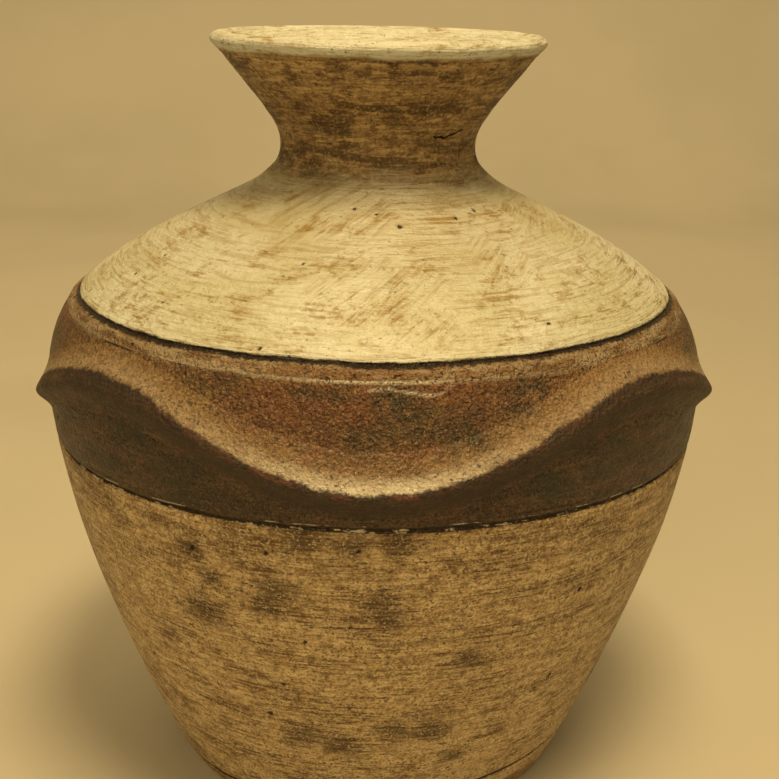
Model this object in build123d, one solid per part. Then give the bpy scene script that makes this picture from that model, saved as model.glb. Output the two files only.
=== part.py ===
from build123d import *
import math
import os

os.makedirs("parts", exist_ok=True)

# Footed clay jar with a pinched neck, a flaring mouth and a wavy applied ridge.
# Millimetres.  +Z is up, the origin is the centre of the underside,
# and -Y is the front, where one trough of the wavy ridge is centred.

# --- driving dimensions -------------------------------------------------------

HEIGHT = 320.0            # floor to the crest of the lip
WALL = 9.0                # thickness of the clay wall

FOOT_RADIUS = 88.0        # outer radius where the foot meets the floor
FOOT_TOP_RADIUS = 94.0    # outer radius at the top of the bevelled foot
FOOT_HEIGHT = 12.0        # height of the foot, up to the trimmed line above it
FOOT_EASE = 1.5           # small bevel on the floor edge of the foot
SLAB_RADIUS = 72.0        # radius of the flat base slab inside the foot
FLOOR_RADIUS = 80.0       # radius of the flat floor inside the jar

LOWER_GROOVE_Z = 155.5    # height of the incised line under the wavy ridge
COIL_LINE_Z = 208.5       # height of the shallow line under the bead
UPPER_GROOVE_Z = 213.8    # height of the deep incised line under the shoulder
NECK_LOW_Z = 262.0        # height where the shoulder runs into the neck
NECK_HIGH_Z = 286.0       # height where the neck opens into the mouth
LIP_Z = 311.0             # height where the rolled lip starts

# Depth and half width of each incised line.
FOOT_LINE = (1.6, 1.6)
LOWER_GROOVE = (1.8, 1.5)
COIL_LINE = (0.9, 0.8)
UPPER_GROOVE = (3.0, 1.9)
BEAD_PROUD = 0.8          # how far the bead swells out of the wall

# Radius and height of the points that shape the rolled lip.
LIP_WIDEST = (70.3, 316.3)
LIP_CREST = (66.0, HEIGHT)
LIP_INNER = (60.3, 317.0)

# Radius and height of the outside of the jar, from the top of the foot to the lip.
BODY_STATIONS = [
    (FOOT_TOP_RADIUS, FOOT_HEIGHT),
    (106.6, 42.0),
    (121.0, 82.0),
    (132.4, 120.0),
    (139.1, 154.0),
    (141.2, 178.0),
    (138.0, 197.0),
    (129.0, 212.0),
    (113.5, 225.0),
    (87.5, 240.0),
    (63.2, 252.0),
    (49.5, 260.0),
    (42.6, 268.0),
    (42.2, 278.0),
    (47.6, 288.0),
    (57.0, 300.0),
    (65.5, LIP_Z),
]
INNER_SAMPLES = 29        # points taken along the outside to set out the inside
HALVINGS = 40             # halvings used to find a height on a line

# Wavy ridge: a coil of clay pressed on to the belly.
WAVE_COUNT = 4            # waves round the jar
WAVE_MID_Z = 186.0        # mean height of the ridge line
WAVE_RISE = 14.5          # how far the ridge line rises and falls either side of that
RIDGE_PROUD = 6.2         # how far the nose stands out of the wall before it is rounded
RIDGE_NOSE_DROP = 2.5     # how far the nose hangs below the ridge line
RIDGE_UNDER = 9.0         # from the ridge line down to the lower edge
RIDGE_OVER_PEAK = 7.0     # from the ridge line up to the upper edge, where a wave peaks
RIDGE_OVER_TROUGH = 13.0  # the same where a wave dips, with room to spread
RIDGE_NOSE_ROUND = 3.0    # rounding of the nose
RIDGE_ROOT = 5.0          # depth to which the coil is drawn before it is trimmed
STEPS_PER_WAVE = 8        # steps that set out one wave of the ridge

AXIS_UP = (Align.CENTER, Align.CENTER, Align.MIN)


# --- curves -------------------------------------------------------------------

def radius_at(curve, height):
    """Radius of a rising line at a height, found by halving."""
    low = 0.0
    high = 1.0
    for halving in range(HALVINGS):
        middle = (low + high) / 2
        if (curve @ middle).Y < height:
            low = middle
        else:
            high = middle
    return (curve @ low).X


def inside_points(curve):
    """Points one wall thickness inside the outside line."""
    points = []
    for step in range(INNER_SAMPLES):
        at = step / (INNER_SAMPLES - 1)
        here = curve @ at
        along = curve % at
        points.append((here.X - WALL * along.Y, here.Y + WALL * along.X))
    return points


OUTSIDE = Spline(*BODY_STATIONS)
INSIDE = Spline(*inside_points(OUTSIDE))


def spin(outline):
    """Turn a closed radius and height outline once round the jar's axis."""
    return revolve(Plane.XZ * make_face(outline), Axis.Z, 360)


# --- solids that the pieces are cut from --------------------------------------

def wall_shell():
    """The whole clay wall, from the top of the foot to the lip."""
    floor_corner = (FLOOR_RADIUS, FOOT_HEIGHT)
    outline = OUTSIDE + INSIDE
    outline += Line(OUTSIDE @ 1, INSIDE @ 1)
    outline += Polyline(OUTSIDE @ 0, floor_corner, INSIDE @ 0)
    return spin(outline)


def score_line(height, size):
    """A ring of V section that scores a line round the wall at a height."""
    depth, half_width = size
    radius = radius_at(OUTSIDE, height)
    apex = (radius - depth, height)
    above = (radius + depth, height + 2 * half_width)
    below = (radius + depth, height - 2 * half_width)
    return spin(Polyline(apex, above, below, close=True))


def wall_between(low, high):
    """The wall between two heights, with the incised lines scored into it."""
    drum = Pos(0, 0, low) * Cylinder(HEIGHT, high - low, align=AXIS_UP)
    section = wall_shell() & drum
    section -= score_line(FOOT_HEIGHT, FOOT_LINE)
    section -= score_line(LOWER_GROOVE_Z, LOWER_GROOVE)
    section -= score_line(COIL_LINE_Z, COIL_LINE)
    section -= score_line(UPPER_GROOVE_Z, UPPER_GROOVE)
    return section


# --- pieces -------------------------------------------------------------------

def base_slab():
    """Round clay slab that closes the bottom of the jar."""
    return Cylinder(SLAB_RADIUS, FOOT_HEIGHT, align=AXIS_UP)


def foot_ring():
    """Bevelled foot round the slab, trimmed under the wall."""
    depth, half_width = FOOT_LINE
    outline = Polyline(
        (SLAB_RADIUS, 0),
        (FOOT_RADIUS - FOOT_EASE, 0),
        (FOOT_RADIUS, FOOT_EASE),
        (FOOT_TOP_RADIUS - half_width / 2, FOOT_HEIGHT - half_width),
        (FOOT_TOP_RADIUS - depth, FOOT_HEIGHT),
        (SLAB_RADIUS, FOOT_HEIGHT),
        close=True,
    )
    return spin(outline)


def lower_wall():
    """Tapering wall from the foot up to the lower incised line."""
    return wall_between(FOOT_HEIGHT, LOWER_GROOVE_Z)


def belly_band():
    """Widest band of the wall, which carries the wavy ridge."""
    return wall_between(LOWER_GROOVE_Z, COIL_LINE_Z)


def bead_coil():
    """Coil of clay between the belly and the shoulder, swelling to a bead."""
    foot_z = COIL_LINE_Z + COIL_LINE[1]
    head_z = UPPER_GROOVE_Z - UPPER_GROOVE[1]
    middle_z = (foot_z + head_z) / 2
    foot = (radius_at(OUTSIDE, foot_z), foot_z)
    head = (radius_at(OUTSIDE, head_z), head_z)
    swell = (radius_at(OUTSIDE, middle_z) + BEAD_PROUD, middle_z)
    bead = spin(ThreePointArc(foot, swell, head) + Line(head, foot))
    return wall_between(COIL_LINE_Z, UPPER_GROOVE_Z) + bead


def shoulder():
    """Domed shoulder from the deep incised line up to the neck."""
    return wall_between(UPPER_GROOVE_Z, NECK_LOW_Z)


def neck_collar():
    """Pinched neck, the narrowest part of the jar."""
    return wall_between(NECK_LOW_Z, NECK_HIGH_Z)


def mouth_flare():
    """Funnel that opens from the neck up to the lip."""
    return wall_between(NECK_HIGH_Z, LIP_Z)


def rim_lip():
    """Rolled lip that finishes the mouth."""
    outer = (radius_at(OUTSIDE, LIP_Z), LIP_Z)
    inner = (radius_at(INSIDE, LIP_Z), LIP_Z)
    inwards = (-1, 0)
    outside = Spline(outer, LIP_WIDEST, LIP_CREST, tangents=[OUTSIDE % 1, inwards])
    inside = Spline(LIP_CREST, LIP_INNER, inner, tangents=[inwards, -(OUTSIDE % 1)])
    return spin(outside + inside + Line(inner, outer))


def wave_share(turn):
    """1 at a trough of the wave and -1 at a peak, a share of a full turn from the front."""
    return math.cos(WAVE_COUNT * 2 * math.pi * turn)


def ridge_plane(turn):
    """Upright plane across the ridge line, a share of a full turn from the front."""
    angle = 2 * math.pi * turn
    height = WAVE_MID_Z - WAVE_RISE * wave_share(turn)
    radius = radius_at(OUTSIDE, height)
    outward = Vector(math.sin(angle), -math.cos(angle), 0)
    along = Vector(math.cos(angle), math.sin(angle), 0)
    return Plane(origin=outward * radius + Vector(0, 0, height), x_dir=outward, z_dir=-along)


def ridge_section(turn):
    """Section of the ridge: a blunt nose, a steep underside and a longer upper side."""
    spread = (RIDGE_OVER_TROUGH - RIDGE_OVER_PEAK) / 2
    over = RIDGE_OVER_PEAK + spread * (1 + wave_share(turn))
    outline = Polyline(
        (-RIDGE_ROOT, -RIDGE_UNDER),
        (0, -RIDGE_UNDER),
        (RIDGE_PROUD, -RIDGE_NOSE_DROP),
        (0, over),
        (-RIDGE_ROOT, over),
        close=True,
    )
    section = make_face(outline)
    nose = section.vertices().sort_by(Axis.X)[-1]
    return ridge_plane(turn) * fillet(nose, RIDGE_NOSE_ROUND)


def solid_core():
    """Everything inside the outside line, which the ridge lies on."""
    axis_side = Polyline(OUTSIDE @ 1, (0, LIP_Z), (0, FOOT_HEIGHT), OUTSIDE @ 0)
    return spin(OUTSIDE + axis_side)


def wave_ridge():
    """Coil of clay pressed on to the belly in one closed wavy line."""
    turns = [step / (WAVE_COUNT * STEPS_PER_WAVE) for step in range(STEPS_PER_WAVE + 1)]
    one_wave = loft([ridge_section(turn) for turn in turns]) - solid_core()
    ridge = one_wave
    for wave in range(1, WAVE_COUNT):
        ridge += Rot(0, 0, wave * 360 / WAVE_COUNT) * one_wave
    return ridge


PIECES = [
    base_slab,
    foot_ring,
    lower_wall,
    belly_band,
    wave_ridge,
    bead_coil,
    shoulder,
    neck_collar,
    mouth_flare,
    rim_lip,
]

for make_piece in PIECES:
    name = make_piece.__name__
    piece = make_piece()
    piece.label = name
    export_step(piece, "parts/" + name + ".step")
    print(name, round(piece.volume), piece.is_valid, len(piece.solids()))
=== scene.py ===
import math
from functools import lru_cache
import bpy
import numpy as np
from mathutils import Matrix, Vector
from mathutils.bvhtree import BVHTree


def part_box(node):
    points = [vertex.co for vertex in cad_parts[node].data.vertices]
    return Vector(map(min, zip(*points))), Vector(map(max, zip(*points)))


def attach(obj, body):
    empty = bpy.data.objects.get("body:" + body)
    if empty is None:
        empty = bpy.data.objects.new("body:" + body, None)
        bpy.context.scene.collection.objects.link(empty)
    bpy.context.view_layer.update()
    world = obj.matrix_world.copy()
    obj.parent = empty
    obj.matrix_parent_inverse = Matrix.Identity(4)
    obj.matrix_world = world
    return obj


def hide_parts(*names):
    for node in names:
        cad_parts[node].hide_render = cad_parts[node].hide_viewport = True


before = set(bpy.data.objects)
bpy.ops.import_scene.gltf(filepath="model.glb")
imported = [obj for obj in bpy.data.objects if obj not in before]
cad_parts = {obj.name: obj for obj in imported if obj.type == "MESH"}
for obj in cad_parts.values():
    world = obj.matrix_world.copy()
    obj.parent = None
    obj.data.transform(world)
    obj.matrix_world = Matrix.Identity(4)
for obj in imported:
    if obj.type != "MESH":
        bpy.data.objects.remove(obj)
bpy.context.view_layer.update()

# Lengths are in millimetres until a mesh is written, and MM turns them to metres.
# Angles run round the jar from the front (-Y) towards the right (+X).

MM = 0.001
TURN = 2 * math.pi


# --- the jar's main heights, read from the frame ---

def node_heights(name):
    """Lowest and highest point of a CAD node, in millimetres."""
    low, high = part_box(name)
    return low.z / MM, high.z / MM


FOOT_TOP = node_heights("foot_ring")[1]
LOWER_JOINT = node_heights("belly_band")[0]
COIL_JOINT = node_heights("bead_coil")[0]
GROOVE_JOINT = node_heights("shoulder")[0]
NECK_LOW, NECK_HIGH = node_heights("neck_collar")
LIP_LOW, JAR_TOP = node_heights("rim_lip")
SLAB_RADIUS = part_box("base_slab")[1].x / MM

# The wavy ridge: how far its ramp runs over a peak of its line, how far the line rises and falls
# about its middle, how proud the ridge stands, and how much higher it sits at the far right.
RIDGE_OVER_PEAK = 7.0
RIDGE_RISE = 14.5
RIDGE_MIDDLE = node_heights("wave_ridge")[1] - RIDGE_OVER_PEAK - RIDGE_RISE
WAVES = 4
RIDGE_PROUD = 5.7
RIGHT_LIFT = 5.5

# How deep each cut is, and how proud each raised line stands.
GROOVE_DEPTH = 2.1
LOWER_DEPTH = 1.2
FAINT_DEPTH = 0.35
GOUGE_DEPTH = 1.3
CRACK_DEPTH = 1.5
PIT_DEPTH = 1.1
HOLLOW_DEPTH = 1.7
BEAD_PROUD = 0.7
PEEL_PROUD = 0.3


# --- lines read from the frame ---

# Each wall piece: its columns, and the spacing of its rows outside and inside in millimetres.
WALL_DETAIL = {
    "lower_wall": (560, 1.0, 6),
    "belly_band": (960, 0.65, 5),
    "bead_coil": (1500, 0.3, 3),
    "shoulder": (760, 0.85, 5),
    "neck_collar": (760, 0.32, 0.8),
    "mouth_flare": (820, 0.5, 0.8),
}

# Heights at which the wall's outside and inside are read.
STATIONS = [15, 30, 50, 82, 120, 148, 160, 178, 192, 205, 218, 225, 232, 240, 246, 252, 256,
            260, 264, 268, 273, 278, 283, 288, 294, 300, 306, 310]


@lru_cache
def node_faces(node):
    """A CAD node's faces, ready for rays."""
    return BVHTree.FromObject(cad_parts[node], bpy.context.evaluated_depsgraph_get())


def cast(node, height, start, direction):
    """Radius in millimetres where a level ray meets a CAD node."""
    origin = Vector((start * MM, 0, height * MM))
    return node_faces(node).ray_cast(origin, Vector((direction, 0, 0)))[0].x / MM


def node_at(height):
    """The wall node that a height falls in."""
    return [node for node in WALL_DETAIL if node_heights(node)[0] <= height][-1]


class SmoothLine:
    """Natural cubic spline of a radius against height."""

    def __init__(self, heights, radii):
        x = np.array(heights, float)
        y = np.array(radii, float)
        step = np.diff(x)
        count = len(x)
        matrix = np.eye(count)
        right = np.zeros(count)
        for i in range(1, count - 1):
            matrix[i, i - 1:i + 2] = step[i - 1], 2 * (step[i - 1] + step[i]), step[i]
            right[i] = 6 * ((y[i + 1] - y[i]) / step[i] - (y[i] - y[i - 1]) / step[i - 1])
        self.x, self.y, self.bend = x, y, np.linalg.solve(matrix, right)

    def __call__(self, height):
        x, y, bend = self.x, self.y, self.bend
        h = np.asarray(height, float)
        i = np.clip(np.searchsorted(x, h) - 1, 0, len(x) - 2)
        width = x[i + 1] - x[i]
        inside = np.clip(h, x[0], x[-1])
        a = (x[i + 1] - inside) / width
        b = (inside - x[i]) / width
        curve = ((a ** 3 - a) * bend[i] + (b ** 3 - b) * bend[i + 1]) * width ** 2 / 6
        value = a * y[i] + b * y[i + 1] + curve
        first = (y[1] - y[0]) / (x[1] - x[0])
        last = (y[-1] - y[-2]) / (x[-1] - x[-2])
        return value + np.minimum(h - x[0], 0) * first + np.maximum(h - x[-1], 0) * last

    def slope(self, height):
        """Change of radius for each millimetre of height."""
        return self(height + 0.5) - self(height - 0.5)


OUTSIDE = SmoothLine(STATIONS, [cast(node_at(z), z, 300, -1) for z in STATIONS])
INSIDE = SmoothLine(STATIONS[1:], [cast(node_at(z), z, 0, 1) for z in STATIONS[1:]])


# --- noise ---

LATTICE = 48


@lru_cache
def lattice(seed):
    return np.random.default_rng(seed).random((LATTICE,) * 3) * 2 - 1


def noise(points, size, seed):
    """Smooth random values from -1 to 1, seamless in space; size may be one length or three."""
    table = lattice(seed)
    place = points / np.array(size, float) + 1000.37
    cell = np.floor(place).astype(int)
    part = place - cell
    part = part * part * (3 - 2 * part)
    low = cell % LATTICE
    high = (cell + 1) % LATTICE
    total = np.zeros(points.shape[:-1])
    for ix, wx in ((low, 1 - part), (high, part)):
        for iy, wy in ((low, 1 - part), (high, part)):
            for iz, wz in ((low, 1 - part), (high, part)):
                weight = wx[..., 0] * wy[..., 1] * wz[..., 2]
                total += weight * table[ix[..., 0], iy[..., 1], iz[..., 2]]
    return total


def fractal(points, size, seed, octaves=3):
    """Noise summed over finer and finer sizes, from about -1 to 1."""
    total = 0
    reach = 0
    for octave in range(octaves):
        share = 0.5 ** octave
        total = total + share * noise(points, np.array(size, float) * share, seed + octave)
        reach += share
    return total / reach


def step_between(low, high, value):
    """0 below low, 1 above high, smooth between."""
    t = np.clip((value - low) / (high - low), 0, 1)
    return t * t * (3 - 2 * t)


def hump(value, middle, half_width):
    """1 at the middle, fading to 0."""
    return np.exp(-((value - middle) / half_width) ** 2)


def turn_gap(angle, degrees):
    """How far an angle is from a place round the jar, in radians, the short way."""
    return (angle - math.radians(degrees) + math.pi) % TURN - math.pi


# --- the clay surface ---

def crest_height(angle):
    """Height of the wavy ridge's line, where its light upper side meets its dark nose."""
    lift = RIGHT_LIFT * np.clip(np.sin(angle), 0, 1) ** 5
    return RIDGE_MIDDLE + 0.8 - (RIDGE_RISE - 0.5) * np.cos(WAVES * angle) + lift


def trough_share(angle):
    """1 at the bottom of each wave of the ridge, 0 at its top."""
    return 0.5 + 0.5 * np.cos(WAVES * angle)


def space(radius, angle, height):
    """A point in space from its radius, its angle and its height."""
    return np.stack(np.broadcast_arrays(radius * np.sin(angle), -radius * np.cos(angle), height), -1)


# Small listed marks: degrees round from the front, height, radius of the mark.
PITS = [(-9, 256, 0.7), (41, 254, 0.86), (30, 252.5, 0.78), (8, 251, 0.94), (0, 254.5, 0.55),
        (-18, 240, 0.62), (-60, 235, 0.7), (-61, 228, 0.78), (33, 222.5, 0.7), (-19, 216.6, 0.7),
        (-44, 224, 0.62), (-29, 140.3, 0.94), (-2, 147.8, 0.78), (38, 117.5, 1), (49, 122, 0.86),
        (-50, 71.5, 1), (38, 73.5, 1.2), (-16, 81, 0.78), (-20, 63, 1.2), (-17, 104, 0.7),
        (-11, 105, 0.78), (-46, 115, 0.7), (-3, 113.5, 0.62), (-16, 144, 0.78)]
STAINS = [(-26, 129.5, 5.5), (-29, 111.5, 8.5), (-15, 128, 7.5), (-17, 121, 6.5), (1.5, 125, 6.5),
          (3, 118, 6), (-29, 140, 5), (-3, 149, 6), (-10, 151, 6), (4, 151, 6), (17.5, 96, 6),
          (12, 59, 8), (-14, 54, 9), (5, 60, 7), (-6, 50, 8), (19, 41, 5)]
DRIFTS = [(-38, 291, 4.5), (-29, 287, 4.5), (-18, 287, 5), (8, 289, 5), (19, 292, 5),
          (-49, 274, 4.5), (-39, 268, 5), (-15, 309, 3.5), (-5, 307, 3), (5, 309, 4),
          (16, 308, 3.5), (27, 305, 4), (-33, 305, 4)]
# Degrees round and height along the crack in the neck.
NECK_CRACK = [(29.5, 281.2), (33, 280.2), (36, 280.4), (39, 279.7), (42, 280.9), (46, 281.3),
              (49, 282.4), (54, 283.0)]
STRAY_PITS = 150
STRAY_STAINS = 34
STRAY_DRIFTS = 26

chance = np.random.default_rng(20)


def stray_marks(count, low, high, smallest, largest):
    """Random marks for the sides and back."""
    return [(chance.uniform(62, 298), chance.uniform(low, high), chance.uniform(smallest, largest))
            for mark in range(count)]


PITS += stray_marks(STRAY_PITS, 30, 262, 0.5, 1.0)
STAINS += stray_marks(STRAY_STAINS, 35, 150, 4, 9)
DRIFTS += stray_marks(STRAY_DRIFTS, 266, 310, 3.5, 5.5)

# Paint patches on the band: degrees round, height, half width and half height.
GREEN = [(-7, 205.2, 10, 2.4), (3, 203, 9, 4), (6, 198, 10, 4.5), (8.5, 193.5, 10, 5), (13, 190, 9, 4),
         (24.5, 204.8, 6, 2.6), (-1, 191, 6, 3), (22, 198, 5, 3)]
ORANGE = [(15.5, 203, 12, 3.6), (-2, 200, 8, 5), (-10, 196, 15, 7), (-16, 201, 12, 4), (6, 188, 8, 3)]
BAND_STAINS = [(-39, 182, 10, 6), (-47, 189, 8, 4), (-24, 186, 10, 3), (36, 171, 9, 6), (40, 177, 9, 6),
               (48, 192, 7, 4), (28, 171, 10, 4), (33, 184, 10, 4)]
# Degrees round and height along the peeled edge.
PEEL = [(-1, 206.4), (2, 207.0), (5, 205.9), (8, 205.0), (10, 205.2), (11.5, 207.6)]

for wave in range(1, WAVES):
    for count, marks, tallest in ((7, GREEN, 5), (4, ORANGE, 6)):
        for mark in range(count):
            marks.append((wave * 360 / WAVES + chance.uniform(-24, 26), chance.uniform(189, 206),
                          chance.uniform(5, 12), chance.uniform(2.5, tallest)))
    for mark in range(7):
        BAND_STAINS.append((wave * 360 / WAVES + chance.uniform(24, 66), chance.uniform(166, 190),
                            chance.uniform(6, 11), chance.uniform(3, 6)))


def spot_sum(angle, height, radius, marks, stretch=1.0):
    """Soft round spots at the marks, each up to 1."""
    total = np.zeros(np.broadcast(angle, height).shape)
    for degrees, at, size in marks:
        across = turn_gap(angle, degrees) * radius / (size * stretch)
        up = (height - at) * np.hypot(1, OUTSIDE.slope(at)) / size
        total = np.maximum(total, np.exp(-(across ** 2 + up ** 2)))
    return total


def patches(angle, height, radius, marks, at):
    """Ragged patches that fade from 1 in the middle to 0 outside."""
    total = np.zeros(np.broadcast(angle, height).shape)
    ragged = 0.9 * fractal(at, 8, 81, 5)
    for degrees, level, half_width, half_height in marks:
        across = turn_gap(angle, degrees) * radius / half_width
        up = (height - level) / half_height
        total = np.maximum(total, 1 - step_between(0.1, 1.9, np.sqrt(across ** 2 + up ** 2) + ragged))
    return total


def peel_edge(angle, height):
    """The raised edge of a bare patch at the front, where the wash has peeled."""
    degrees = np.degrees(turn_gap(angle, 0))
    edge = np.interp(degrees, *zip(*PEEL))
    ends = step_between(-1.5, -0.5, degrees) * (1 - step_between(11, 12.5, degrees))
    return hump(height - edge, 0, 0.35) * ends


def lower_line(angle):
    """Height of the incised line under the ridge, which sags a little to the sides."""
    return LOWER_JOINT - 0.3 + 1.1 * np.cos(angle) + 0.35 * np.sin(3 * angle + 1)


def upper_line(angle):
    """Height of the deep groove, whose ends miss each other a little at the front."""
    gap = turn_gap(angle, -4)
    miss = 0.35 * np.tanh(-gap / 0.02) * hump(gap, 0, 0.35)
    return GROOVE_JOINT + 0.25 * np.sin(2 * angle) + miss


def crack_depth(angle, height):
    """1 inside the slanting crack at the right of the neck."""
    degrees = np.degrees(turn_gap(angle, 0))
    places, levels = zip(*NECK_CRACK)
    level = np.interp(degrees, places, levels)
    start = step_between(places[0], places[0] + 4, degrees)
    end = step_between(places[-1] - 5, places[-1], degrees)
    return start * (1 - end) * hump(height, level, 0.38)


def second_line(angle, height, at):
    """A fainter line that comes and goes over the lower incised line."""
    gap = height - lower_line(angle) - 3.1 - 0.5 * fractal(at, 30, 27, 2)
    return hump(gap, 0, 0.6) * step_between(-0.2, 0.3, fractal(at, 30, 28, 2))


def gouge_cut(angle, height, at):
    """The broken slanting line just above the foot."""
    gap = height - (14.5 + 8.0 * np.sin(angle)) - 0.5 * fractal(at, 14, 31)
    there = fractal(at, 34, 35, 2) + 0.6 * hump(turn_gap(angle, 38), 0, 0.5)
    return hump(gap, 0, 1.0) * step_between(-0.25, 0.25, there)


def hollow_over_ridge(angle, height):
    """The thumbed hollow over each trough of the ridge, which dies out at the two sides."""
    above = height - crest_height(angle)
    share = trough_share(angle) * (1 - np.sin(angle) ** 4)
    hollow = hump(above, 20, 10) * share * step_between(0, 8, above)
    return hollow * step_between(0, 5, COIL_JOINT - height)


def band_marks(angle, height, radius, at):
    """Paint masks that only the band between the two incised lines has, with painted shade and a painted
    highlight among them.
    """
    above = height - crest_height(angle)
    trough = trough_share(angle)
    marks = {
        "stain": patches(angle, height, radius, BAND_STAINS, at),
        "green": patches(angle, height, radius, GREEN, at),
        "orange": patches(angle, height, radius, ORANGE, at),
    }
    # Gold about 6 mm over the line is partly gold wash and partly painted light on the ramp that faces up.
    gold = np.maximum(0.12 * (1 - trough), hump(above, 6, 5.5)) + 0.35 * fractal(at, 14, 91)
    marks["gold"] = np.clip(gold - marks["orange"], 0, 1)
    # Painted shade: dark umber in the thumbed hollow over each trough of the ridge, strongest at the
    # troughs.
    shade = (0.55 + 0.45 * trough) * hump(above, 17, 9.5) * (0.8 + 0.6 * fractal(at, 12, 97))
    # More painted shade on the band's left side.
    shade = shade + 0.32 * hump(turn_gap(angle, -42), 0, 0.42)
    marks["shade"] = np.clip(shade, 0, 1)
    # Painted highlight: a pale line along the coil, broken by noise, strongest at the front where the coil's
    # edge catches the light.
    broken = fractal(at, 16, 94) + 0.3 * hump(turn_gap(angle, 1), 0, 0.2)
    line = hump(height - COIL_JOINT, 0.3, 0.42) * step_between(-0.25, 0.15, broken)
    marks["pale"] = line * (0.2 + 0.8 * hump(turn_gap(angle, 1), 0, 0.3))
    return marks


def wall_relief(angle, height, radius):
    """How far the wall stands in or out of its smooth line, and its marks, on the outside."""
    at = space(radius, angle, height)
    line_gap = height - lower_line(angle) - 0.3 * fractal(at, 12, 23)
    groove_gap = height - upper_line(angle) - 0.35 * fractal(at, 9, 16)
    torn = 1 + 0.35 * fractal(at, 5, 13)
    groove = hump(groove_gap, 0, 0.9) * torn
    lower = hump(line_gap, 0, 1.0) * torn
    second = second_line(angle, height, at)
    coil = hump(height - COIL_JOINT - 0.3 * fractal(at, 30, 19, 2), 0, 0.45)
    gouge = gouge_cut(angle, height, at)
    pits = spot_sum(angle, height, radius, PITS)
    crack = crack_depth(angle, height)
    peel = peel_edge(angle, height)
    relief = 0.55 * fractal(at, 95, 1, 2) - 0.45
    relief = relief + 0.13 * fractal(at, (70, 70, 2.6), 5) + 0.07 * fractal(at, 4.0, 9)
    relief = relief - HOLLOW_DEPTH * hollow_over_ridge(angle, height)
    relief = relief + BEAD_PROUD * hump(height, (COIL_JOINT + GROOVE_JOINT) / 2 - 0.2, 2.1)
    relief = relief - GROOVE_DEPTH * groove - LOWER_DEPTH * lower - FAINT_DEPTH * (coil + second)
    relief = relief - GOUGE_DEPTH * gouge - CRACK_DEPTH * crack
    relief = relief - PIT_DEPTH * np.clip(pits * 1.4, 0, 1) + PEEL_PROUD * peel
    coil_dirt = fractal(at, 22, 20) - 0.4 * hump(turn_gap(angle, 3), 0, 0.25)
    dirt = 0.8 * groove + 0.7 * coil * step_between(-0.05, 0.45, coil_dirt) + 0.6 * lower
    dirt = dirt + 0.45 * second + gouge + 1.4 * crack + 1.3 * pits
    stains = DRIFTS if np.min(height) > GROOVE_JOINT - 1 else STAINS
    marks = {
        "grime": np.clip(dirt, 0, 1),
        "stain": spot_sum(angle, height, radius, stains, 1.15),
        "above": height - crest_height(angle),
        "peel": peel,
        "line_gap": line_gap,
        "groove_gap": groove_gap,
        "front": 1 - step_between(0.85, 1.1, np.abs(turn_gap(angle, 0))) + 0 * height,
    }
    if np.max(height) > LOWER_JOINT + 1 and np.min(height) < GROOVE_JOINT - 1:
        marks.update(band_marks(angle, height, radius, at))
    return relief, marks


# --- mesh building ---

def rows_between(line, low, high, spacing):
    """Heights that divide a line evenly along its own length."""
    fine = np.linspace(low, high, 400)
    lengths = np.concatenate([[0], np.cumsum(np.hypot(np.diff(fine), np.diff(line(fine))))])
    count = max(2, int(round(lengths[-1] / spacing)) + 1)
    return np.interp(np.linspace(0, lengths[-1], count), lengths, fine)


def write_mesh(name, points, faces, flat=None, marks=None):
    """A new object from points in millimetres, with its paint masks as attributes."""
    mesh = bpy.data.meshes.new(name)
    faces = np.asarray(faces, np.int32)
    mesh.vertices.add(len(points))
    mesh.vertices.foreach_set("co", (points * MM).astype(np.float32).ravel())
    mesh.loops.add(faces.size)
    mesh.loops.foreach_set("vertex_index", faces.ravel())
    mesh.polygons.add(len(faces))
    mesh.polygons.foreach_set("loop_start", np.arange(len(faces), dtype=np.int32) * faces.shape[1])
    smooth = np.ones(len(faces), bool) if flat is None else ~flat
    mesh.polygons.foreach_set("use_smooth", smooth)
    for mark, values in (marks or {}).items():
        layer = mesh.attributes.new(mark, "FLOAT", "POINT")
        layer.data.foreach_set("value", values.astype(np.float32).ravel())
    mesh.update(calc_edges=True)
    mesh.validate()
    obj = bpy.data.objects.new(name, mesh)
    bpy.context.scene.collection.objects.link(obj)
    return obj


def ring_faces(rows, columns):
    """Quads of a grid that closes on itself both ways."""
    row, column = np.meshgrid(np.arange(rows), np.arange(columns), indexing="ij")
    next_row = (row + 1) % rows
    next_column = (column + 1) % columns
    corners = [row * columns + column, row * columns + next_column,
               next_row * columns + next_column, next_row * columns + column]
    return np.stack(corners, -1).reshape(-1, 4)


def ring_piece(name, sections, columns, marks=None, flat_rows=()):
    """A closed ring from section points (rows, columns, 2) of radius and height."""
    radius, height = sections[..., 0], sections[..., 1]
    rows = radius.shape[0]
    points = space(radius, columns_angles(columns), height).reshape(-1, 3)
    flat = np.zeros((rows, columns), bool)
    flat[list(flat_rows)] = True
    return write_mesh(name, points, ring_faces(rows, columns), flat.ravel(), marks)


def columns_angles(columns):
    return np.linspace(0, TURN, columns, endpoint=False)[None, :]


def with_hidden_rows(marks, rows, columns):
    """The outside's marks, carried on over the rows of the hidden side."""
    full = {}
    for mark, values in marks.items():
        fill = FAR if mark in ("above", "line_gap", "groove_gap") else 0
        full[mark] = np.concatenate([values + np.zeros((1, columns)), np.full((rows, columns), fill)])
    full["inside"] = np.zeros(full["above"].shape)
    full["inside"][-rows:] = 1
    return full


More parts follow.
